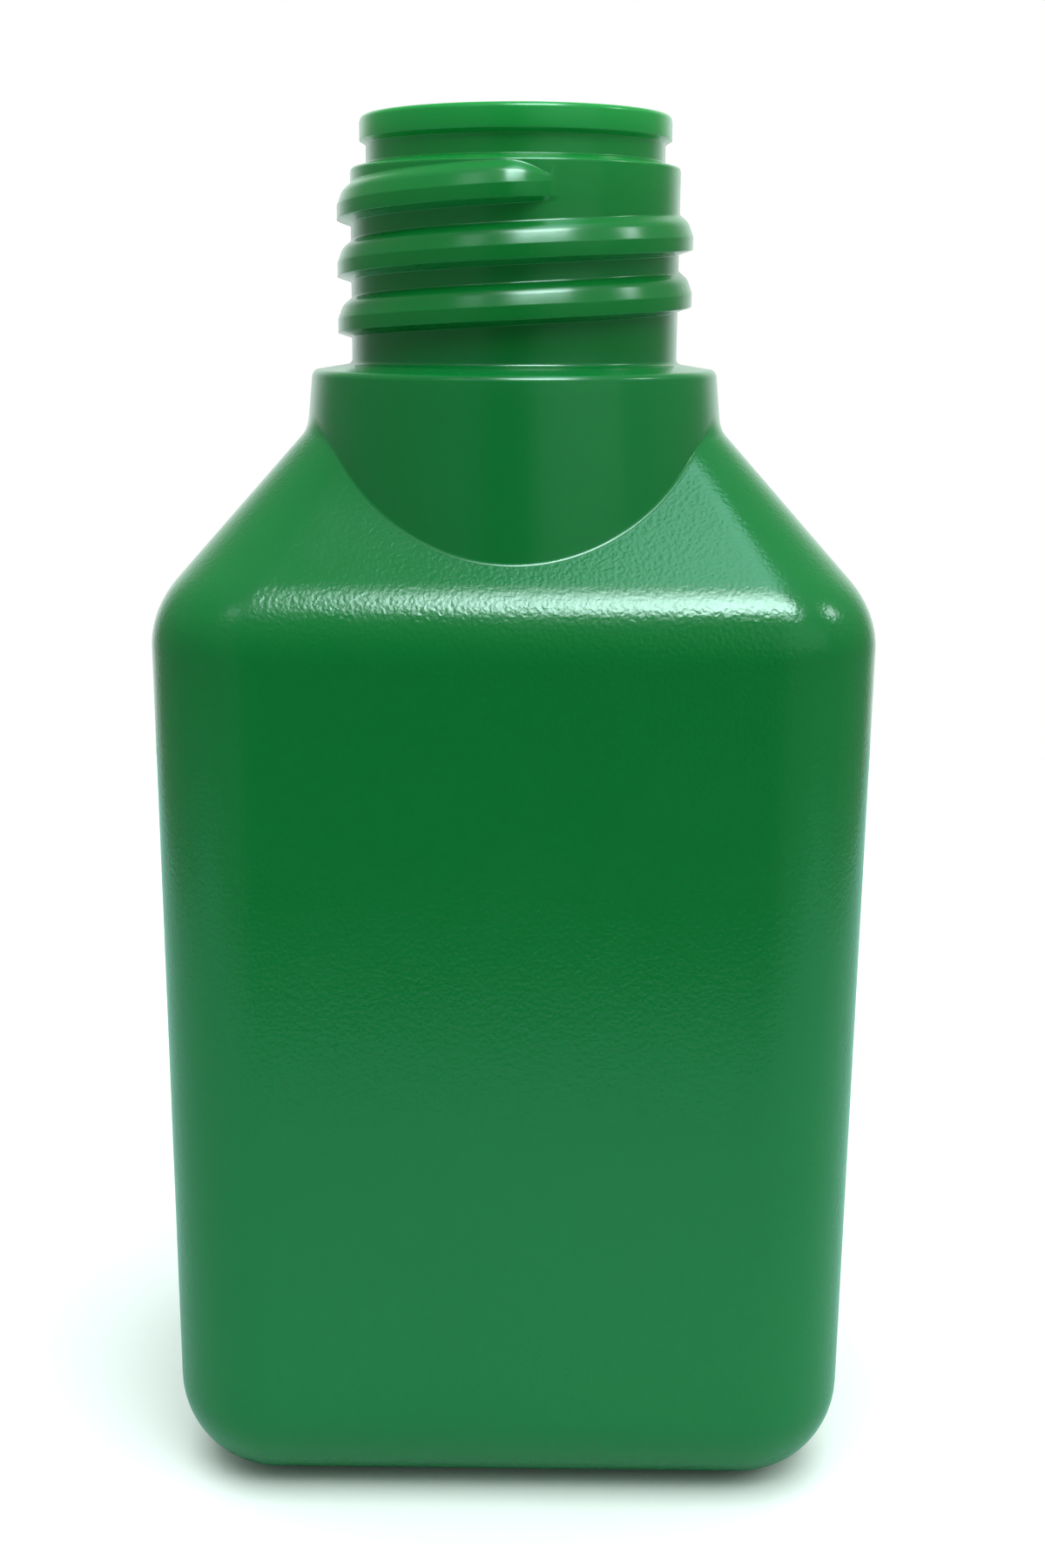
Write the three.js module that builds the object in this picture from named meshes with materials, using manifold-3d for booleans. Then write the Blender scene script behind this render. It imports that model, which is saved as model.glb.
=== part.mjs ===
// A small rectangular oil bottle, blow moulded in one piece of green plastic, with a 28 mm screw neck.
//
// Millimetres, +Z up. The origin is at the centre of the base, on the surface the bottle stands on.
// X runs along the wide faces, and -Y is the front.
//
// The moulding is held in two solids that meet face to face on the straight foot of the neck:
//   body_shell   base, walls, sloping shoulders and the round collar under the neck, hollow inside
//   neck_finish  the polished ring above it: thread, groove and lip around the bore

import * as THREE from 'three';
import { mergeVertices } from 'three/addons/utils/BufferGeometryUtils.js';
import Module from 'manifold-3d';

const wasm = await Module();
wasm.setup();

const degrees = THREE.MathUtils.degToRad;

// ---- Driving dimensions ----

// Body
const bodyWidth = 54.0; // at the shoulder, along X
const bodyDepth = 41.0; // at the shoulder, along Y
const wallDraft = degrees(0.28); // each wall leans in towards the base
const cornerRadius = 8.3; // the four upright corners
const baseRadius = 7.6; // rounding between the walls and the base
const shoulderRadius = 8.0; // rounding between walls and slopes
const slopeTop = 84; // the slopes end at this height, inside the collar
const hipRadius = 4.3; // the hips between the slopes tighten from the corner radius to this

// The slopes over the two kinds of wall: `edge` is the height where wall and slope would meet in a
// sharp edge, and `slope` is the angle from horizontal.
const narrowSide = { edge: 70.2, slope: degrees(49.3) };
const wideSide = { edge: 70.8, slope: degrees(44.3) };
const wall = 1.2; // thickness of walls, slopes and collar

// Push-up: the shallow recess in the base that leaves a ring to stand on
const pushUpHeight = 1.2;
const pushUpInset = 3.6; // width of the standing ring
const pushUpRun = 3.0; // how far the recess slopes in over its height
const pushUpCorner = 3.0;

// Collar: the round boss between shoulders and neck
const collarRadius = 15.8; // at its top edge
const collarFlare = degrees(5.6); // it widens downwards
const collarTop = 87.4; // height of its top edge, if that were sharp
const collarEdge = 0.6; // radius of that edge
const collarPitch = degrees(9); // its top face rises towards the neck
const collarFoot = wideSide.edge + 0.4; // its solid starts here, inside the body

// Neck, a 28 mm finish of 6 turns to the inch
const rimHeight = 106.3; // overall height of the bottle
const boreRadius = 10.4;
const rootRadius = 12.67; // neck wall between the turns of the thread
const footRadius = 0.4; // fillet where the neck rises from the collar
const lipRadius = 11.93;
const lipHeight = 1.76;
const lipEdge = 0.4;
const grooveRadius = 11.44;
const grooveBottom = 3.5; // below the rim
const splitHeight = 89.0; // the plane where the two solids meet

// Thread
const crestRadius = 13.75;
const threadPitch = 25.4 / 6;
const crestWidth = 1.0; // flat of the crest, along Z
const upperFlank = 1.6; // height of the long flank above the crest
const lowerFlank = 0.35; // height of the steep flank below it
const threadStart = degrees(-78); // direction of the upper end, just right of the front
const threadTurn = degrees(877); // right-handed, running down from there
const threadTop = 5.95; // crest centre below the rim at the upper end
const threadFade = degrees(16); // the ridge sinks into the wall over this angle at each end

// Facets
const roundFacets = 60; // around the axis
const cornerFacets = 7; // around one corner of the body
const arcFacets = 4; // along a rounded edge
const shoulderRings = 10; // up the rounded shoulder

// ---- Solids from geometry ----

/** Merges the shared vertices of a closed geometry and hands it to Manifold. */
function toSolid(geometry) {
  geometry.deleteAttribute('normal');
  geometry.deleteAttribute('uv');
  const merged = mergeVertices(geometry);
  return new wasm.Manifold(
    new wasm.Mesh({
      numProp: 3,
      vertProperties: new Float32Array(merged.attributes.position.array),
      triVerts: new Uint32Array(merged.index.array),
    }),
  );
}

function toMesh(name, solid, material) {
  const { vertProperties, triVerts } = solid.getMesh();
  const geometry = new THREE.BufferGeometry();
  geometry.setAttribute('position', new THREE.BufferAttribute(vertProperties, 3));
  geometry.setIndex(new THREE.BufferAttribute(triVerts, 1));
  geometry.computeVertexNormals();
  const mesh = new THREE.Mesh(geometry, material);
  mesh.name = name;
  return mesh;
}

/** A closed solid through a stack of rings. The rings have equally many points and run
 * anticlockwise as seen from the last ring, and each end is closed with a fan. */
function loft(rings) {
  const count = rings[0].length;
  const middle = (ring) => ring.reduce((sum, point) => sum.add(point), new THREE.Vector3()).divideScalar(count);
  const points = [...rings.flat(), middle(rings[0]), middle(rings.at(-1))];
  const firstMiddle = points.length - 2;
  const lastMiddle = points.length - 1;
  const lastRing = (rings.length - 1) * count;
  const index = [];
  for (let i = 0; i < count; i++) {
    const next = (i + 1) % count;
    for (let start = 0; start < lastRing; start += count) {
      index.push(start + i, start + next, start + count + next);
      index.push(start + i, start + count + next, start + count + i);
    }
    index.push(firstMiddle, next, i);
    index.push(lastMiddle, lastRing + i, lastRing + next);
  }
  const geometry = new THREE.BufferGeometry().setFromPoints(points);
  geometry.setIndex(index);
  return toSolid(geometry);
}

/** Turns an outline of [radius, height] points around Z. The outline runs up the outside. */
function turned(outline) {
  const points = outline.map(([radius, height]) => new THREE.Vector2(radius, height));
  return toSolid(new THREE.LatheGeometry(points, roundFacets).rotateX(Math.PI / 2));
}

/** Points [x, y] on an arc, both ends included. */
function arc(centreX, centreY, radius, from, to) {
  const step = (to - from) / arcFacets;
  return Array.from({ length: arcFacets + 1 }, (_, i) => [
    centreX + radius * Math.cos(from + i * step),
    centreY + radius * Math.sin(from + i * step),
  ]);
}

// ---- Body ----

/** A level ring: a rectangle with rounded corners. */
function rectangleRing(halfWidth, halfDepth, radius, height) {
  const ring = [];
  for (let corner = 0; corner < 4; corner++) {
    const centreX = (halfWidth - radius) * [1, -1, -1, 1][corner];
    const centreY = (halfDepth - radius) * [1, 1, -1, -1][corner];
    for (let i = 0; i <= cornerFacets; i++) {
      const angle = ((corner + i / cornerFacets) * Math.PI) / 2;
      ring.push(new THREE.Vector3(centreX + radius * Math.cos(angle), centreY + radius * Math.sin(angle), height));
    }
  }
  return ring;
}

/** A level ring of the body, set in from the shoulder's full size. */
const bodyRing = (inset, radius, height) =>
  rectangleRing(bodyWidth / 2 - inset, bodyDepth / 2 - inset, radius, height);

const turnOf = (side) => Math.PI / 2 - side.slope;
const wallTopOf = (side) => side.edge - shoulderRadius * Math.tan(turnOf(side) / 2);

/** How far a side has leant in at a height above its wall, with its surface moved in by `offset`. */
function slopeInset(side, height, offset) {
  const radius = shoulderRadius - offset;
  const above = Math.max(0, height - wallTopOf(side));
  const roundedTo = radius * Math.sin(turnOf(side));
  const onArc = Math.min(above, roundedTo);
  const arcInset = shoulderRadius - Math.sqrt(radius ** 2 - onArc ** 2);
  return arcInset + (above - onArc) / Math.tan(side.slope);
}

/** The body from its base up its walls and slopes to a level top, with its surface moved in by
 * `offset`. With the wall's thickness as the offset it is the hollow inside. */
function bodySolid(offset, top) {
  const wallTop = wallTopOf(narrowSide);
  const footInset = (wallTop - baseRadius) * Math.tan(wallDraft);
  const upright = cornerRadius - offset;
  const rings = [];
  for (const [fromWall, height] of arc(baseRadius, baseRadius, baseRadius - offset, -Math.PI / 2, -Math.PI)) {
    rings.push(bodyRing(footInset + fromWall, upright - (fromWall - offset), height));
  }
  const heights = Array.from({ length: shoulderRings }, (_, i) => wallTop + (i * shoulderRadius) / shoulderRings);
  for (const height of [...heights, (heights.at(-1) + top) / 2, top]) {
    const halfWidth = bodyWidth / 2 - slopeInset(narrowSide, height, offset);
    const halfDepth = bodyDepth / 2 - slopeInset(wideSide, height, offset);
    const tightened = ((height - wallTop) / (slopeTop - wallTop)) * (cornerRadius - hipRadius);
    rings.push(rectangleRing(halfWidth, halfDepth, upright - tightened, height));
  }
  return loft(rings);
}

/** The recess in the base. Grown by the wall's thickness it is the bump in the floor above it. */
function pushUpSolid(grow) {
  const ringInset = baseRadius + pushUpInset - grow;
  const below = 1; // starts under the base, so that the cut is clean
  return loft([
    bodyRing(ringInset, pushUpCorner, -below),
    bodyRing(ringInset, pushUpCorner, grow / 2),
    bodyRing(ringInset + pushUpRun, pushUpCorner, pushUpHeight + grow),
  ]);
}

/** Collar and neck foot as one turned solid, up to the split. */
function collarSolid() {
  const widest = collarRadius + (collarTop - collarFoot) * Math.tan(collarFlare);
  const edgeInset = collarEdge * Math.tan((Math.PI / 2 - collarPitch) / 2);
  const edgeCentre = collarTop - edgeInset;
  const footHeight = collarTop + (collarRadius - rootRadius) * Math.tan(collarPitch);
  const footCentre = footHeight + footRadius * Math.tan((Math.PI / 2 - collarPitch) / 2);
  return turned([
    [0, collarFoot],
    [widest, collarFoot],
    ...arc(collarRadius - collarEdge, edgeCentre, collarEdge, 0, Math.PI / 2 - collarPitch),
    ...arc(rootRadius + footRadius, footCentre, footRadius, -Math.PI / 2 - collarPitch, -Math.PI),
    [rootRadius, splitHeight],
    [0, splitHeight],
  ]);
}

/** The hollow under the collar, and the bore above it. */
function collarHollow() {
  const widest = collarRadius - wall + (collarTop - collarFoot) * Math.tan(collarFlare);
  const ceiling = collarTop - 1.5 * wall;
  const above = 1; // runs past the split, so that the cut is clean
  return turned([
    [0, collarFoot],
    [widest, collarFoot],
    [collarRadius - wall, ceiling],
    [boreRadius, ceiling + wall],
    [boreRadius, splitHeight + above],
    [0, splitHeight + above],
  ]);
}

function bodyShell() {
  const hollowSlopeTop = slopeTop - 2 * wall;
  const outside = bodySolid(0, slopeTop).add(collarSolid());
  const inside = bodySolid(wall, hollowSlopeTop).add(collarHollow()).subtract(pushUpSolid(wall));
  return outside.subtract(pushUpSolid(0)).subtract(inside);
}

// ---- Neck ----

/** The ring without its thread. */
function neckRing() {
  const lipBottom = rimHeight - lipHeight;
  const shelf = rimHeight - grooveBottom;
  const shelfDrop = 0.35; // the wall's top edge slopes out from the groove
  const shelfEdge = 0.2;
  const undercut = 0.3; // the lip's lower edge slopes in to the groove
  return turned([
    [boreRadius, splitHeight],
    [rootRadius, splitHeight],
    [rootRadius, shelf - shelfDrop - shelfEdge],
    [rootRadius - shelfEdge, shelf - shelfDrop],
    [grooveRadius, shelf],
    [grooveRadius, lipBottom - undercut],
    [lipRadius, lipBottom],
    ...arc(lipRadius - lipEdge, rimHeight - lipEdge, lipEdge, 0, Math.PI / 2),
    [boreRadius + lipEdge / 2, rimHeight],
    [boreRadius, rimHeight - lipEdge / 2],
    [boreRadius, splitHeight],
  ]);
}

/** How far the ridge stands out, from 0 at its ends to 1. */
function threadRise(turnedBy) {
  const fromEnd = Math.min(turnedBy, threadTurn - turnedBy) / threadFade;
  return fromEnd >= 1 ? 1 : Math.sin((fromEnd * Math.PI) / 2);
}

/** The helical ridge, its foot sunk into the neck wall. */
function threadRidge() {
  const sunk = 0.5; // depth of the ridge's foot in the wall
  const flankRise = 0.78; // the rounded upper flank has this share of the height halfway up
  const steps = Math.round((threadTurn / (2 * Math.PI)) * roundFacets);
  const rings = [];
  for (let step = 0; step <= steps; step++) {
    const turnedBy = (step / steps) * threadTurn;
    const angle = threadStart - turnedBy;
    const crest = rimHeight - threadTop - (threadPitch * turnedBy) / (2 * Math.PI);
    const rise = threadRise(turnedBy);
    const out = (share) => rootRadius - sunk / 2 + (crestRadius - rootRadius + sunk / 2) * share * rise;
    const section = [
      [rootRadius - sunk, -crestWidth / 2 - lowerFlank],
      [out(0), -crestWidth / 2 - lowerFlank],
      [out(1), -crestWidth / 2],
      [out(1), crestWidth / 2],
      [out(flankRise), crestWidth / 2 + upperFlank / 2],
      [out(0), crestWidth / 2 + upperFlank],
      [rootRadius - sunk, crestWidth / 2 + upperFlank],
    ];
    const place = ([radius, up]) =>
      new THREE.Vector3(radius * Math.cos(angle), radius * Math.sin(angle), crest + up);
    rings.push(section.map(place));
  }
  return loft(rings);
}

// ---- The bottle ----

const grained = new THREE.MeshStandardMaterial({ color: 0x17703a, roughness: 0.5, metalness: 0 });
grained.name = 'grained_green';
const polished = new THREE.MeshStandardMaterial({ color: 0x1c7a40, roughness: 0.28, metalness: 0 });
polished.name = 'polished_green';

const bottle = new THREE.Group();
bottle.add(toMesh('body_shell', bodyShell(), grained));
bottle.add(toMesh('neck_finish', neckRing().add(threadRidge()), polished));

export default bottle;
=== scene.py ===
"""A small rectangular oil bottle, blow moulded in green plastic, on a white table in soft light.

Metres, +Z up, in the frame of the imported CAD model: the origin is at the centre of the base, X runs
along the wide faces, and -Y is the front. The bottle is one moulding. It is held in two meshes that
meet on the straight foot of the neck, one for each CAD solid:
  bottle_body   base, walls, shoulders and collar, with the hollow inside
  bottle_neck   thread, groove and lip around the bore
"""

import math

import bmesh
import bpy
from mathutils import Matrix, Vector


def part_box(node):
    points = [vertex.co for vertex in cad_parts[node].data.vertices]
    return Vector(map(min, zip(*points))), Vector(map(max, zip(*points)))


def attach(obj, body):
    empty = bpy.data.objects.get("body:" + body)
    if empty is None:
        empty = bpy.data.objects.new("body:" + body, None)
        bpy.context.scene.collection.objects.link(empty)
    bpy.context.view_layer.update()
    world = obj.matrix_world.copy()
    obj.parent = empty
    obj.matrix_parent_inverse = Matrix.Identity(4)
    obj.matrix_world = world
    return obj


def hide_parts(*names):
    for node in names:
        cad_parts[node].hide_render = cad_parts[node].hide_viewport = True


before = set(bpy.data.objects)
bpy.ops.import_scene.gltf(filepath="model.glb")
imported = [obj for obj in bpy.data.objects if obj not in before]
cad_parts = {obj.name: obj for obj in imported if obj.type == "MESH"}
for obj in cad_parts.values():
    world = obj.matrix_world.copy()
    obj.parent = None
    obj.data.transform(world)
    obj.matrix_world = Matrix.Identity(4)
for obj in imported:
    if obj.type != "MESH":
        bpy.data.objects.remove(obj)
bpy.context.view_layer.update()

body_low, body_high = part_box("body_shell")
neck_low, neck_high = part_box("neck_finish")

MM = 0.001

# ---- Dimensions, the same as the CAD model's ----

# Body
BODY_WIDTH = body_high.x - body_low.x
BODY_DEPTH = body_high.y - body_low.y
WALL_DRAFT = math.radians(0.28)  # each wall leans in towards the base
CORNER_RADIUS = 8.3 * MM
BASE_RADIUS = 7.6 * MM
SHOULDER_RADIUS = 8.0 * MM
SLOPE_TOP = 84 * MM
HIP_RADIUS = 4.3 * MM  # at SLOPE_TOP: the hips tighten from the corner radius to this
NARROW_EDGE = 70.2 * MM  # where a narrow wall and its slope would meet in a sharp edge
NARROW_SLOPE = math.radians(49.3)
WIDE_EDGE = 70.8 * MM
WIDE_SLOPE = math.radians(44.3)
WALL = 1.2 * MM
NARROW_TURN = math.pi / 2 - NARROW_SLOPE  # from the wall to the slope
WIDE_TURN = math.pi / 2 - WIDE_SLOPE
WALL_TOP = NARROW_EDGE - SHOULDER_RADIUS * math.tan(NARROW_TURN / 2)

# Push-up, the recess in the base
PUSH_UP_HEIGHT = 1.2 * MM
PUSH_UP_INSET = 3.6 * MM  # width of the ring that the bottle stands on
PUSH_UP_RUN = 3.0 * MM
PUSH_UP_CORNER = 3.0 * MM

# Inside
CEILING_DROP = 1.5 * WALL  # from the collar's top edge down to the edge of the hollow's ceiling
CEILING_EDGE = 0.6 * MM
BORE_FOOT = 0.4 * MM  # rounding where the bore opens into the hollow

# Collar
COLLAR_RADIUS = 15.8 * MM  # at its top edge
COLLAR_FLARE = math.radians(5.6)
COLLAR_TOP = 87.4 * MM
COLLAR_EDGE = 0.6 * MM
COLLAR_PITCH = math.radians(9)

# Neck
RIM_HEIGHT = neck_high.z
SPLIT_HEIGHT = neck_low.z
BORE_RADIUS = 10.4 * MM
ROOT_RADIUS = 12.67 * MM
FOOT_RADIUS = 0.4 * MM
LIP_RADIUS = 11.93 * MM
LIP_HEIGHT = 1.76 * MM
LIP_EDGE = 0.4 * MM
GROOVE_RADIUS = 11.44 * MM
GROOVE_BOTTOM = 3.5 * MM  # below the rim
GROOVE_FILLET = 0.15 * MM
SHELF_DROP = 0.35 * MM  # the shelf under the groove slopes down by this
SHELF_EDGE = 0.25 * MM
UNDERCUT = 0.3 * MM  # the lip's underside slopes down to the groove by this
UNDERCUT_EDGE = 0.12 * MM
BORE_EDGE = 0.2 * MM

# Thread
CREST_RADIUS = 13.75 * MM
THREAD_PITCH = 25.4 / 6 * MM
CREST_WIDTH = 1.0 * MM
CREST_EDGE = 0.3 * MM  # rounding of the crest's upper edge, and where its flank meets the wall
LOWER_EDGE = 0.12 * MM  # the same below the crest
UPPER_FLANK = 1.6 * MM
LOWER_FLANK = 0.35 * MM
KNEE_RISE = 0.63  # the upper flank bulges: it still has this share of the ridge's rise
KNEE_HEIGHT = 0.66  # at this share of its height
KNEE_ROUNDING = 1.2 * MM
THREAD_START = math.radians(-78)  # azimuth of its upper end
THREAD_TURN = math.radians(877)
THREAD_TOP = 5.95 * MM  # crest centre below the rim at the upper end
THREAD_FADE = math.radians(16)
FLANK_AT_ENDS = 0.2  # the upper flank's height there, as a share of the rest

# Details that only the looks have
CREASE_FILLET = 0.2 * MM  # reach of the soft corner between slope and collar, at the front
SIDE_CREASE_FILLET = 1.1 * MM  # and above the middle of the narrow sides
SIDE_CREASE_START = 0.85  # it grows where the azimuth's cosine passes this
SEAM_HEIGHT = 0.05 * MM  # parting line of the mould, up both narrow sides
SEAM_SHARE = 0.012  # half its width, as a share of the narrow side
PINCH_OFF_HEIGHT = 0.3 * MM  # weld line across the middle of the base
PINCH_OFF_ROWS = (0.12 * MM, 0.3 * MM)  # its foot, and a row that keeps the floor beside it flat
SHARP_ANGLE = math.radians(35)  # edges that turn by more are shaded as sharp
SAME_POINT = 0.1e-6  # points nearer than this are one point

# ---- Mesh columns: both pieces share them, so that they meet point for point ----

CORNER_STEPS = 24
WIDE_STEPS = 60
NARROW_STEPS = 40
CREASE_STEPS = 6
CORNERS = [(1, 1), (-1, 1), (-1, -1), (1, -1)]


def mesh_columns():
    """Each column is (share of width, share of depth, direction), anticlockwise from +X: on a level
    ring it lies in that direction from a point with those shares of the ring's flat sides."""
    wide = [i / WIDE_STEPS for i in range(1, WIDE_STEPS)]
    narrow = [i / NARROW_STEPS for i in range(1, NARROW_STEPS)]
    narrow = sorted(narrow + [0.5 - SEAM_SHARE / 2, 0.5 + SEAM_SHARE / 2])
    columns = []
    for corner, side in enumerate([wide, narrow, wide, narrow]):
        x, y = CORNERS[corner]
        next_x, next_y = CORNERS[(corner + 1) % 4]
        for i in range(CORNER_STEPS + 1):
            columns.append((x, y, (corner + i / CORNER_STEPS) * math.pi / 2))
        for share in side:
            share_x = x + (next_x - x) * share
            share_y = y + (next_y - y) * share
            columns.append((share_x, share_y, (corner + 1) * math.pi / 2))
    return columns


COLUMNS = mesh_columns()


def slope_inset(edge, slope, height, offset):
    """How far a side leans in at a height, with its surface moved in by `offset`."""
    turn = math.pi / 2 - slope
    reach = SHOULDER_RADIUS - offset
    above = max(0, height - edge + SHOULDER_RADIUS * math.tan(turn / 2))
    on_arc = min(above, reach * math.sin(turn))
    return SHOULDER_RADIUS - math.sqrt(reach**2 - on_arc**2) + (above - on_arc) / math.tan(slope)


def level_section(height, offset):
    """Half width, half depth and corner radius of the body at a height from the wall's top up."""
    half_width = BODY_WIDTH / 2 - slope_inset(NARROW_EDGE, NARROW_SLOPE, height, offset)
    half_depth = BODY_DEPTH / 2 - slope_inset(WIDE_EDGE, WIDE_SLOPE, height, offset)
    tightened = (CORNER_RADIUS - HIP_RADIUS) * (height - WALL_TOP) / (SLOPE_TOP - WALL_TOP)
    return half_width, half_depth, CORNER_RADIUS - offset - tightened


def section_ring(half_width, half_depth, radius, height, tilt, seam):
    """A level ring: a rectangle with rounded corners. The parting line stands out along the
    surface's normal, which is tilted up by `tilt`."""
    points = []
    for share_x, share_y, direction in COLUMNS:
        out = Vector((math.cos(direction), math.sin(direction), 0))
        flat = Vector((share_x * (half_width - radius), share_y * (half_depth - radius), height))
        point = flat + out * radius
        if abs(share_y) < SEAM_SHARE / 2:
            point += (out * math.cos(tilt) + Vector((0, 0, math.sin(tilt)))) * seam
            point.z = max(0, point.z)  # flat where the bottle stands on it
        points.append(point)
    return points


def ring(inset, radius, height, tilt, seam=SEAM_HEIGHT):
    """A level ring set in from the body's full size."""
    return section_ring(BODY_WIDTH / 2 - inset, BODY_DEPTH / 2 - inset, radius, height, tilt, seam)


# Above the foot of the slopes a column keeps the azimuth that it has there
SLOPE_FOOT = WALL_TOP + SHOULDER_RADIUS * math.sin(WIDE_TURN)
SLOPE_FOOT_RING = section_ring(*level_section(SLOPE_FOOT, 0), SLOPE_FOOT, 0, 0)
AZIMUTHS = [math.atan2(point.y, point.x) for point in SLOPE_FOOT_RING]


def on_seam(column):
    return abs(COLUMNS[column][1]) < SEAM_SHARE / 2


def from_axis(azimuth, reach, height):
    return Vector((reach * math.cos(azimuth), reach * math.sin(azimuth), height))


def round_row(radius, height, seam=SEAM_HEIGHT):
    """A level circle, with a point in each column's azimuth."""
    row = []
    for column, azimuth in enumerate(AZIMUTHS):
        row.append(from_axis(azimuth, radius + seam * on_seam(column), height))
    return row


def rounded(corners, steps=5):
    """The outline through [radius, height, rounding] corners, each corner rounded to an arc."""
    outline = []
    for i, (radius, height, rounding) in enumerate(corners):
        here = Vector((radius, height))
        if not rounding:
            outline.append(here)
            continue
        back = (Vector(corners[i - 1][:2]) - here).normalized()
        ahead = (Vector(corners[i + 1][:2]) - here).normalized()
        half = back.angle(ahead) / 2
        centre = here + (back + ahead).normalized() * rounding / math.sin(half)
        start = here + back * rounding / math.tan(half) - centre
        end = here + ahead * rounding / math.tan(half) - centre
        turn = start.angle(end)
        for k in range(steps + 1):
            part = k / steps
            swung = start * math.sin((1 - part) * turn) + end * math.sin(part * turn)
            outline.append(centre + swung / math.sin(turn))
    return outline


def mix(start, end, share):
    return start + (end - start) * share


def ease(share):
    """A smooth step from 0 to 1."""
    return share * share * (3 - 2 * share)


class Skin:
    """The points and faces of a mesh, built up from rows with one point per column."""

    def __init__(self):
        self.points = []
        self.grain = []  # for each point, 1 where the mould was grained and 0 where it was smooth
        self.faces = []

    def add_row(self, row, grain=0):
        start = len(self.points)
        self.points.extend(row)
        self.grain.extend([grain] * len(row))
        return range(start, len(self.points))

    def add_face(self, corners):
        corners = [corner for i, corner in enumerate(corners) if corner != corners[i - 1]]
        if len(corners) > 2:
            self.faces.append(corners)

    def join(self, lower, upper):
        """Faces between two rows, seen from outside the upper one above the lower one."""
        for i in range(len(lower)):
            after = (i + 1) % len(lower)
            self.add_face([lower[i], lower[after], upper[after], upper[i]])

    def add_rows(self, rows, below=None, grain=0):
        """Adds rows upwards, the first of them joined to `below`, and returns the last."""
        for row in rows:
            added = self.add_row(row, grain)
            if below:
                self.join(below, added)
            below = added
        return below


# ---- Body ----


def section_reach(azimuth, height, offset):
    """How far the body's level section reaches from the axis in one azimuth."""
    half_width, half_depth, radius = level_section(height, offset)
    across, deep = abs(math.cos(azimuth)), abs(math.sin(azimuth))
    if deep * half_width <= across * (half_depth - radius):
        return half_width / across
    if across * half_depth <= deep * (half_width - radius):
        return half_depth / deep
    centre = Vector((half_width - radius, half_depth - radius))
    along = centre.dot(Vector((across, deep)))
    return along + math.sqrt(along**2 - centre.length_squared + radius**2)


def collar_radius(height, offset):
    return COLLAR_RADIUS - offset + (COLLAR_TOP - height) * math.tan(COLLAR_FLARE)


def crease_height(azimuth, offset):
    """Where the slope meets the collar in one azimuth, found by halving."""
    low, high = SLOPE_FOOT, SLOPE_TOP
    halvings = 40
    for _ in range(halvings):
        middle = (low + high) / 2
        if section_reach(azimuth, middle, offset) > collar_radius(middle, offset):
            low = middle
        else:
            high = middle
    return low


def base_rows(offset, seam):
    """From the weld line in the middle of the base out to the ring that the bottle stands on.
    The inside is made with a seam of 0, and has no weld line."""
    middle = BODY_DEPTH / 2
    bump = offset / 2  # the inside of the recess is that much wider
    recess_edge = BASE_RADIUS + PUSH_UP_INSET - bump
    recess_floor = recess_edge + PUSH_UP_RUN
    top = PUSH_UP_HEIGHT + offset
    down = -math.pi / 2
    rows = [ring(middle, 0, top - (PINCH_OFF_HEIGHT if seam else 0), down, 0)]
    for from_middle in PINCH_OFF_ROWS:
        rows.append(ring(middle - from_middle, from_middle / 2, top, down, seam))
    floor_steps = 4
    for k in range(1, floor_steps):
        share = k / floor_steps
        inset = mix(middle, recess_floor, share)
        rows.append(ring(inset, PUSH_UP_CORNER * share, top, down, seam))
    side_steps = 9
    for k in range(side_steps + 1):
        share = k / side_steps
        inset = mix(recess_floor, recess_edge, share)
        height = offset + PUSH_UP_HEIGHT * ease(1 - share)
        rows.append(ring(inset, PUSH_UP_CORNER, height, down, seam))
    return rows


def wall_rows(offset, seam):
    """Up the base's rounded edge, the walls and the rounded shoulder to the foot of the slopes."""
    upright = CORNER_RADIUS - offset
    foot_inset = (WALL_TOP - BASE_RADIUS) * math.tan(WALL_DRAFT)
    rows = []
    base_steps = 16
    for k in range(base_steps + 1):
        turn = math.pi / 2 * k / base_steps
        reach = BASE_RADIUS - offset
        from_wall = BASE_RADIUS - reach * math.sin(turn)
        height = BASE_RADIUS - reach * math.cos(turn)
        radius = upright - (from_wall - offset)
        rows.append(ring(foot_inset + from_wall, radius, height, turn - math.pi / 2, seam))
    wall_steps = 24
    for k in range(1, wall_steps):
        height = mix(BASE_RADIUS, WALL_TOP, k / wall_steps)
        inset = offset + (WALL_TOP - height) * math.tan(WALL_DRAFT)
        rows.append(ring(inset, upright, height, 0, seam))
    shoulder_steps = 16
    for k in range(shoulder_steps + 1):
        height = mix(WALL_TOP, SLOPE_FOOT, k / shoulder_steps)
        tilt = NARROW_TURN * k / shoulder_steps
        rows.append(section_ring(*level_section(height, offset), height, tilt, seam))
    return rows


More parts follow.
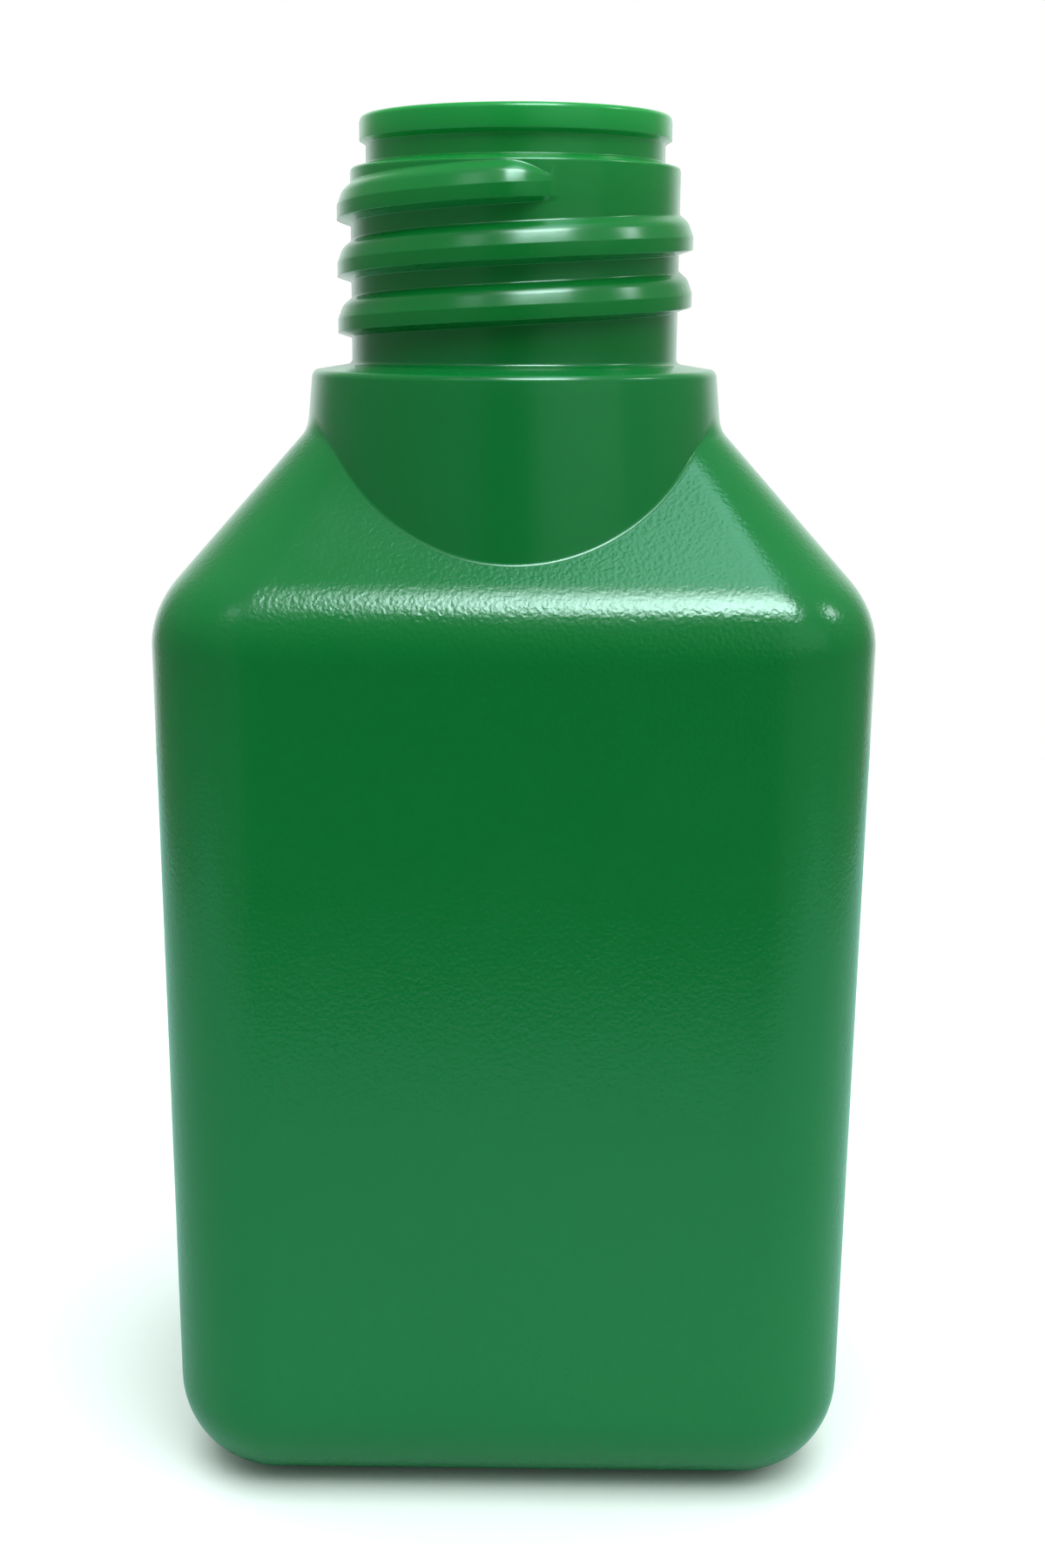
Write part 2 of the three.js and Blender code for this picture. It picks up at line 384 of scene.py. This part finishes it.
def slope_rows(offset, seam):
    """Up the slopes to the collar, and through the soft crease on to the collar's side. The last
    CREASE_STEPS rows are the crease."""
    steps = 26
    rows = [[] for _ in range(steps + CREASE_STEPS)]
    for column, azimuth in enumerate(AZIMUTHS):
        raised = seam * on_seam(column)
        crease_z = crease_height(azimuth, offset)
        crease = from_axis(azimuth, collar_radius(crease_z, offset), crease_z)
        beside = max(0, (abs(math.cos(azimuth)) - SIDE_CREASE_START) / (1 - SIDE_CREASE_START))
        fillet = mix(CREASE_FILLET, SIDE_CREASE_FILLET, ease(beside))
        slope_z = crease_z - fillet * math.sin(NARROW_SLOPE)
        side_z = crease_z + fillet
        slope_end = from_axis(azimuth, section_reach(azimuth, slope_z, offset), slope_z)
        side_start = from_axis(azimuth, collar_radius(side_z, offset), side_z)
        for k in range(1, steps + 1):
            height = mix(SLOPE_FOOT, slope_z, k / steps)
            reach = section_reach(azimuth, height, offset) + raised / math.sin(NARROW_SLOPE)
            rows[k - 1].append(from_axis(azimuth, reach, height))
        for k in range(1, CREASE_STEPS + 1):
            share = k / CREASE_STEPS
            point = mix(mix(slope_end, crease, share), mix(crease, side_start, share), share)
            rows[steps + k - 1].append(point + from_axis(azimuth, raised, 0))
    return rows


def collar_rows(side_start, side_end_height, offset, seam):
    """Up the collar's side from the uneven row along the crease to a level one."""
    steps = 14
    rows = []
    for k in range(1, steps):
        row = []
        for column, start in enumerate(side_start):
            height = mix(start.z, side_end_height, k / steps)
            reach = collar_radius(height, offset) + seam * on_seam(column)
            row.append(from_axis(AZIMUTHS[column], reach, height))
        rows.append(row)
    return rows


def turned_rows(outline, seam=SEAM_HEIGHT):
    return [round_row(radius, height, seam) for radius, height in outline]


def body_skin():
    """The body: up the outside, over the split, and back down the inside."""
    foot_height = COLLAR_TOP + (COLLAR_RADIUS - ROOT_RADIUS) * math.tan(COLLAR_PITCH)
    side = COLLAR_TOP - 3 * COLLAR_EDGE
    collar = rounded([
        (collar_radius(side, 0), side, 0),
        (COLLAR_RADIUS, COLLAR_TOP, COLLAR_EDGE),
        (ROOT_RADIUS, foot_height, FOOT_RADIUS),
        (ROOT_RADIUS, SPLIT_HEIGHT, 0),
    ], steps=8)
    ceiling = COLLAR_TOP - CEILING_DROP
    hollow_side = ceiling - 2 * WALL
    hollow = rounded([
        (BORE_RADIUS, SPLIT_HEIGHT, 0),
        (BORE_RADIUS, ceiling + WALL, BORE_FOOT),
        (collar_radius(ceiling, WALL), ceiling, CEILING_EDGE),
        (collar_radius(hollow_side, WALL), hollow_side, 0),
    ])
    grained = base_rows(0, SEAM_HEIGHT) + wall_rows(0, SEAM_HEIGHT)
    slopes = slope_rows(0, SEAM_HEIGHT)
    grained += slopes[:-CREASE_STEPS]
    smooth = slopes[-CREASE_STEPS:]
    smooth += collar_rows(slopes[-1], side, 0, SEAM_HEIGHT) + turned_rows(collar)
    inside = base_rows(WALL, 0) + wall_rows(WALL, 0) + slope_rows(WALL, 0)
    inside += collar_rows(inside[-1], hollow[-1].y, WALL, 0)
    skin = Skin()
    last = skin.add_rows(grained, grain=1)
    skin.add_rows(smooth + turned_rows(hollow, 0) + inside[::-1], last)
    return skin


# ---- Neck ----


# The ridge's outline over one pitch, as [rise from the neck wall, height from the crest's centre]
CREST_RISE = CREST_RADIUS - ROOT_RADIUS
RIDGE = rounded([
    (0, THREAD_PITCH / 2, 0),
    (0, CREST_WIDTH / 2 + UPPER_FLANK, CREST_EDGE),
    (CREST_RISE * KNEE_RISE, CREST_WIDTH / 2 + UPPER_FLANK * KNEE_HEIGHT, KNEE_ROUNDING),
    (CREST_RISE, CREST_WIDTH / 2, CREST_EDGE),
    (CREST_RISE, -CREST_WIDTH / 2, LOWER_EDGE),
    (0, -CREST_WIDTH / 2 - LOWER_FLANK, LOWER_EDGE),
    (0, -THREAD_PITCH / 2, 0),
], steps=6)[1:-1]


def fade(turned_by):
    """How far the ridge stands out, from 0 at its ends to 1."""
    from_end = min(turned_by, THREAD_TURN - turned_by) / THREAD_FADE
    return math.sin(max(0, min(1, from_end)) * math.pi / 2)


def flank_scale(turned_by):
    """How tall the upper flank is: 1, and less towards the ridge's ends, where the ridge sinks."""
    on_ridge = 0 <= turned_by <= THREAD_TURN
    return mix(FLANK_AT_ENDS, 1, fade(turned_by)) if on_ridge else 1


def scaled_flank(offset, scale):
    """A height from the crest's centre, with the part of it above the crest scaled."""
    return offset + max(0, offset - CREST_WIDTH / 2) * (scale - 1)


def ridge_rise(offset):
    """Rise of the ridge at a height from its crest's centre."""
    for above, below in zip(RIDGE, RIDGE[1:]):
        if below.y <= offset <= above.y:
            return mix(above.x, below.x, (above.y - offset) / (above.y - below.y))
    return 0


def crest_height(turned_by):
    return RIM_HEIGHT - THREAD_TOP - THREAD_PITCH * turned_by / math.tau


def add_threaded_wall(skin, bottom, top, top_height):
    """The threaded wall between two rows. Its rows run with the helix and end where they meet the
    rows at the bottom and the top."""
    steps = len(RIDGE)
    turned = [(THREAD_START - azimuth) % math.tau for azimuth in AZIMUTHS]
    made = {}

    def vertex(column, row):
        lap, step = divmod(row, steps)
        turned_by = turned[column] + lap * math.tau
        rise, offset = RIDGE[step]
        height = crest_height(turned_by) + scaled_flank(offset, flank_scale(turned_by))
        if height >= top_height:
            return top[column]
        if height <= SPLIT_HEIGHT:
            return bottom[column]
        if (column, row) not in made:
            reach = ROOT_RADIUS + rise * fade(turned_by) + SEAM_HEIGHT * on_seam(column)
            made[column, row] = skin.add_row([from_axis(AZIMUTHS[column], reach, height)])[0]
        return made[column, row]

    for column in range(len(COLUMNS)):
        after = (column + 1) % len(COLUMNS)
        lap_shift = steps if turned[after] > turned[column] else 0
        for row in range(-steps, 4 * steps):
            corners = [
                vertex(column, row + 1),
                vertex(after, row + 1 - lap_shift),
                vertex(after, row - lap_shift),
                vertex(column, row),
            ]
            skin.add_face(corners)


def neck_skin():
    """The neck: up its threaded wall, over groove and lip, and back down the bore."""
    shelf = RIM_HEIGHT - GROOVE_BOTTOM
    lip_bottom = RIM_HEIGHT - LIP_HEIGHT
    outline = rounded([
        (ROOT_RADIUS, SPLIT_HEIGHT, 0),
        (ROOT_RADIUS, shelf - SHELF_DROP, SHELF_EDGE),
        (GROOVE_RADIUS, shelf, GROOVE_FILLET),
        (GROOVE_RADIUS, lip_bottom - UNDERCUT, UNDERCUT_EDGE),
        (LIP_RADIUS, lip_bottom, UNDERCUT_EDGE),
        (LIP_RADIUS, RIM_HEIGHT, LIP_EDGE),
        (BORE_RADIUS, RIM_HEIGHT, BORE_EDGE),
        (BORE_RADIUS, SPLIT_HEIGHT, 0),
    ])[1:]
    top_height = outline[0].y
    flare = []  # where the ridge reaches the shelf, the wall's top edge is that much wider
    for azimuth in AZIMUTHS:
        turned_by = (THREAD_START - azimuth) % math.tau
        offset = scaled_flank(top_height - crest_height(turned_by), 1 / flank_scale(turned_by))
        flare.append(ridge_rise(offset) * fade(turned_by))
    rows = turned_rows(outline)
    for (radius, height), row in zip(outline, rows):
        share = max(0, (radius - GROOVE_RADIUS) / (ROOT_RADIUS - GROOVE_RADIUS))
        if height > shelf:
            break
        for point, azimuth, wider in zip(row, AZIMUTHS, flare):
            point += from_axis(azimuth, wider * share, 0)
    skin = Skin()
    bottom = skin.add_row(round_row(ROOT_RADIUS, SPLIT_HEIGHT))
    top = skin.add_row(rows[0])
    add_threaded_wall(skin, bottom, top, top_height)
    skin.join(skin.add_rows(rows[1:], top), bottom)
    return skin


# ---- Materials ----


class Nodes:
    """Adds nodes to a material or world. An input may be a value or another node's output."""

    def __init__(self, owner):
        owner.use_nodes = True
        self.tree = owner.node_tree
        self.tree.nodes.clear()

    def add(self, kind, inputs=(), **settings):
        node = self.tree.nodes.new(kind)
        for name, value in settings.items():
            setattr(node, name, value)
        for name, value in dict(inputs).items():
            if isinstance(value, bpy.types.NodeSocket):
                self.tree.links.new(value, node.inputs[name])
            else:
                node.inputs[name].default_value = value
        return node

    def object_position(self):
        return self.add("ShaderNodeTexCoord").outputs["Object"]

    def noise(self, position, size, detail=2.0, roughness=0.5, distortion=0.0):
        """A noise from 0 to 1 whose patches are about `size` metres across."""
        inputs = {"Vector": position, "Scale": 1 / size, "Detail": detail}
        inputs.update({"Roughness": roughness, "Distortion": distortion})
        return self.add("ShaderNodeTexNoise", inputs).outputs["Fac"]

    def remap(self, value, low, high, to_low, to_high, smooth=False):
        inputs = {"Value": value, "From Min": low, "From Max": high}
        inputs.update({"To Min": to_low, "To Max": to_high})
        kind = "SMOOTHSTEP" if smooth else "LINEAR"
        return self.add("ShaderNodeMapRange", inputs, interpolation_type=kind).outputs["Result"]

    def math(self, operation, first, second):
        return self.add("ShaderNodeMath", {0: first, 1: second}, operation=operation).outputs[0]

    def blend(self, share, first, second):
        """A colour between two colours."""
        inputs = {0: share, 6: first, 7: second}
        return self.add("ShaderNodeMix", inputs, data_type="RGBA").outputs[2]


DEEP_GREEN = (0.0005, 0.152, 0.025, 1)
LIGHT_GREEN = (0.001, 0.174, 0.03, 1)
NECK_GREEN = (0.001, 0.163, 0.022, 1)
# Painted light: the lip's colour is a painted glow, lighter than the neck, for light coming through
# the thin wall
LIP_GLOW_GREEN = (0.01, 0.33, 0.052, 1)
GLOSS_TINT = (0.7, 1.0, 0.95, 1)
PLASTIC_IOR = 1.49
GRAIN_SIZE = 0.32 * MM
GRAIN_DEPTH = 0.021 * MM
GRAINED_ROUGHNESS = 0.2
SMOOTH_ROUGHNESS = 0.22  # on the collar
RIPPLE_SIZE = 1.6 * MM  # on the neck
RIPPLE_DEPTH = 0.008 * MM


def plastic_shader(nodes, colour, roughness, bump):
    shader = nodes.add("ShaderNodeBsdfPrincipled", {
        "Base Color": colour,
        "Roughness": roughness,
        "Normal": bump,
        "IOR": PLASTIC_IOR,
        "Specular Tint": GLOSS_TINT,
    })
    nodes.add("ShaderNodeOutputMaterial", {"Surface": shader.outputs["BSDF"]})


def grained_plastic():
    """The body: satin, with the fine grain of the mould everywhere but on the collar."""
    material = bpy.data.materials.new("grained green plastic")
    nodes = Nodes(material)
    position = nodes.object_position()
    grain_mask = nodes.add("ShaderNodeAttribute", attribute_name="grain").outputs["Fac"]
    clouds = nodes.noise(position, 30 * MM, detail=3)
    colour = nodes.blend(clouds, DEEP_GREEN, LIGHT_GREEN)
    pebbles = nodes.noise(position, GRAIN_SIZE, detail=0.8, roughness=0.4, distortion=0.3)
    height = nodes.math("MULTIPLY", pebbles, grain_mask)
    bump = nodes.add("ShaderNodeBump", {"Height": height, "Strength": 1.0, "Distance": GRAIN_DEPTH})
    satin = nodes.remap(grain_mask, 0, 1, SMOOTH_ROUGHNESS, GRAINED_ROUGHNESS)
    blotches = nodes.remap(nodes.noise(position, 6 * MM, detail=4), 0.3, 0.7, -0.02, 0.03)
    roughness = nodes.math("ADD", satin, blotches)
    plastic_shader(nodes, colour, roughness, bump.outputs["Normal"])
    return material


def polished_plastic():
    """The neck: glossy, with a painted glow: its colour turns lighter towards the lip, standing in
    for light that comes through the thin wall.
    """
    material = bpy.data.materials.new("polished green plastic")
    nodes = Nodes(material)
    position = nodes.object_position()
    up = nodes.add("ShaderNodeSeparateXYZ", {"Vector": position}).outputs["Z"]
    # Painted light: the colour turns lighter towards the lip, a painted glow for light that comes
    # through the thin wall
    painted_glow = nodes.math("POWER", nodes.remap(up, SPLIT_HEIGHT, RIM_HEIGHT, 0, 1), 4)
    colour = nodes.blend(painted_glow, NECK_GREEN, LIP_GLOW_GREEN)
    ripple = nodes.noise(position, RIPPLE_SIZE, detail=2)
    bump = nodes.add("ShaderNodeBump", {"Height": ripple, "Strength": 1.0, "Distance": RIPPLE_DEPTH})
    blotches = nodes.remap(nodes.noise(position, 3 * MM, detail=4), 0.3, 0.7, 0.2, 0.25)
    plastic_shader(nodes, colour, blotches, bump.outputs["Normal"])
    return material


# ---- Pieces ----


def add_piece(name, skin, material):
    mesh = bpy.data.meshes.new(name)
    mesh.from_pydata(skin.points, [], skin.faces)
    mesh.attributes.new("grain", "FLOAT", "POINT").data.foreach_set("value", skin.grain)
    edit = bmesh.new()
    edit.from_mesh(mesh)
    bmesh.ops.remove_doubles(edit, verts=edit.verts, dist=SAME_POINT)
    edit.to_mesh(mesh)
    edit.free()
    mesh.shade_smooth()
    mesh.set_sharp_from_angle(angle=SHARP_ANGLE)
    mesh.materials.append(material)
    piece = bpy.data.objects.new(name, mesh)
    bpy.context.scene.collection.objects.link(piece)
    return piece


body = add_piece("bottle_body", body_skin(), grained_plastic())
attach(body, "root")
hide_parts("body_shell")

neck = add_piece("bottle_neck", neck_skin(), polished_plastic())
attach(neck, "root")
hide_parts("neck_finish")


# ---- Table, light and camera ----


ROOM_COLOUR = (0.9, 1.0, 0.97)
KEY_COLOUR = (1.0, 0.92, 0.98)
GREEN_LIGHT = (0.67, 1.0, 1.0)

TABLE_FRONT = -0.13
TABLE_BACK = 0.25
TABLE_SIDE = 0.19
TABLE_SEEN = (0.97, 0.99, 0.99, 1)  # the sheet as the camera sees it
TABLE_MIRRORED = (0.4, 0.66, 0.62, 1)  # and as it lights the bottle and shows in its gloss

CAMERA_PLACE = (-0.0004, -0.15758, 0.09149)
CAMERA_LEFT = math.radians(0.90)  # turned left of straight ahead
CAMERA_UP = math.radians(90 - 13.42)  # tilted up from straight down: 13.42 degrees short of level
CAMERA_ROLL = math.radians(0.13)
FOCAL_LENGTH = 45.0  # in millimetres, as the sensor is
SENSOR_SIZE = 36.0  # along the frame's longer side
LENS_SHIFT = 0.0293  # sideways, as a share of the frame's longer side


def add_table():
    """A white sheet that ends a little way in front of the bottle, so that the upper part of the
    front face mirrors a dark room and the lower part mirrors the sheet."""
    corners = [
        (-TABLE_SIDE, TABLE_FRONT, 0),
        (TABLE_SIDE, TABLE_FRONT, 0),
        (TABLE_SIDE, TABLE_BACK, 0),
        (-TABLE_SIDE, TABLE_BACK, 0),
    ]
    mesh = bpy.data.meshes.new("table")
    mesh.from_pydata(corners, [], [(0, 1, 2, 3)])
    material = bpy.data.materials.new("white sheet")
    nodes = Nodes(material)
    seen = nodes.add("ShaderNodeLightPath").outputs["Is Camera Ray"]
    white = nodes.blend(seen, TABLE_MIRRORED, TABLE_SEEN)
    shader = nodes.add("ShaderNodeBsdfPrincipled", {"Base Color": white, "Roughness": 0.6})
    nodes.add("ShaderNodeOutputMaterial", {"Surface": shader.outputs["BSDF"]})
    mesh.materials.append(material)
    table = bpy.data.objects.new("table", mesh)
    bpy.context.scene.collection.objects.link(table)


def add_soft_box(name, azimuth, elevation, across, up, brightness, colour, glossy=True):
    """A soft box that faces the shoulders. Azimuth 0 is in front and 90 on the right; `across` and
    `up` are the angles that it fills, all in degrees. It only makes highlights, or with `glossy` off
    it only lights matt surfaces."""
    distance = 1.0
    light = bpy.data.lights.new(name, "AREA")
    light.shape = "RECTANGLE"
    light.size = 2 * distance * math.tan(math.radians(across / 2))
    light.size_y = 2 * distance * math.tan(math.radians(up / 2))
    light.energy = brightness * math.pi * light.size * light.size_y
    light.color = colour
    box = bpy.data.objects.new(name, light)
    bpy.context.scene.collection.objects.link(box)
    a, e = math.radians(azimuth), math.radians(elevation)
    towards = Vector((math.sin(a) * math.cos(e), -math.cos(a) * math.cos(e), math.sin(e)))
    box.location = Vector((0, 0, WALL_TOP)) + towards * distance
    box.rotation_euler = towards.to_track_quat("Z", "Y").to_euler()
    box.visible_camera = False
    box.visible_diffuse = not glossy
    box.visible_glossy = glossy
    return light


def add_key():
    """The main soft box: brightest along its lower edge, and dimmer towards its left end."""
    light = add_soft_box(
        "key", azimuth=16, elevation=66, across=33.4, up=39, brightness=33, colour=KEY_COLOUR
    )
    nodes = Nodes(light)
    # A place on the box: X runs from 0 at its left end to 1, and Y from 0 at its lower edge to 1
    place = nodes.add("ShaderNodeNewGeometry").outputs["Parametric"]
    parts = nodes.add("ShaderNodeSeparateXYZ", {"Vector": place})
    rightwards = nodes.remap(parts.outputs["X"], 0.05, 0.23, 0.0, 1.0)
    upwards = nodes.remap(parts.outputs["Y"], 0.1, 0.7, 1.0, 0.0)
    strength = nodes.math("MULTIPLY", rightwards, upwards)
    emission = nodes.add("ShaderNodeEmission", {"Strength": strength})
    nodes.add("ShaderNodeOutputLight", {"Surface": emission.outputs["Emission"]})


def add_room():
    """The room's own light: white behind and above the bottle, dark in front of it. The camera
    sees plain white in every direction."""
    world = bpy.data.worlds.new("room")
    bpy.context.scene.world = world
    nodes = Nodes(world)
    direction = nodes.add("ShaderNodeTexCoord").outputs["Generated"]
    parts = nodes.add("ShaderNodeSeparateXYZ", {"Vector": direction})
    behind = nodes.remap(parts.outputs["Y"], 0.55, 0.95, 0.12, 1.2, smooth=True)
    above = nodes.remap(parts.outputs["Z"], -0.05, 0.6, 0.0, 0.15, smooth=True)
    aside = nodes.math("ABSOLUTE", parts.outputs["X"], 0)
    beside = nodes.remap(aside, 0.1, 0.5, 0.0, 0.22, smooth=True)
    strength = nodes.math("ADD", nodes.math("ADD", behind, above), beside)
    room = nodes.add("ShaderNodeBackground", {"Color": (*ROOM_COLOUR, 1), "Strength": strength})
    white = nodes.add("ShaderNodeBackground", {"Color": (1, 1, 1, 1), "Strength": 1.0})
    seen = nodes.add("ShaderNodeLightPath").outputs["Is Camera Ray"]
    mixed = nodes.add("ShaderNodeMixShader", {0: seen, 1: room.outputs[0], 2: white.outputs[0]})
    nodes.add("ShaderNodeOutputWorld", {"Surface": mixed.outputs[0]})


def add_camera():
    lens = bpy.data.cameras.new("camera")
    lens.lens = FOCAL_LENGTH
    lens.sensor_width = SENSOR_SIZE
    lens.shift_x = LENS_SHIFT
    lens.clip_start = 0.01
    lens.clip_end = 20
    camera = bpy.data.objects.new("camera", lens)
    bpy.context.scene.collection.objects.link(camera)
    yaw = Matrix.Rotation(CAMERA_LEFT, 4, "Z")
    pitch = Matrix.Rotation(CAMERA_UP, 4, "X")
    roll = Matrix.Rotation(CAMERA_ROLL, 4, "Z")
    camera.matrix_world = Matrix.Translation(CAMERA_PLACE) @ yaw @ pitch @ roll
    bpy.context.scene.camera = camera


add_camera()
add_table()
add_room()
add_key()
# Highlights: name, azimuth, elevation, width, height, brightness, colour
add_soft_box("upper right", 68, 77.6, 22, 16, 4.5, GREEN_LIGHT)
add_soft_box("right front", 35, 17, 50, 26, 0.45, ROOM_COLOUR)
add_soft_box("right", 87, 36, 9, 9, 14, KEY_COLOUR)
add_soft_box("left", -35, 44, 14, 10, 2.5, KEY_COLOUR)
# Light on matt surfaces only
add_soft_box("overhead", 10, 80, 60, 60, 3.5, ROOM_COLOUR, glossy=False)
add_soft_box("front fill", 30, 50, 30, 30, 2.2, ROOM_COLOUR, glossy=False)
add_soft_box("right fill", 85, 25, 40, 30, 1.5, ROOM_COLOUR, glossy=False)
bpy.context.scene.view_settings.view_transform = "Standard"
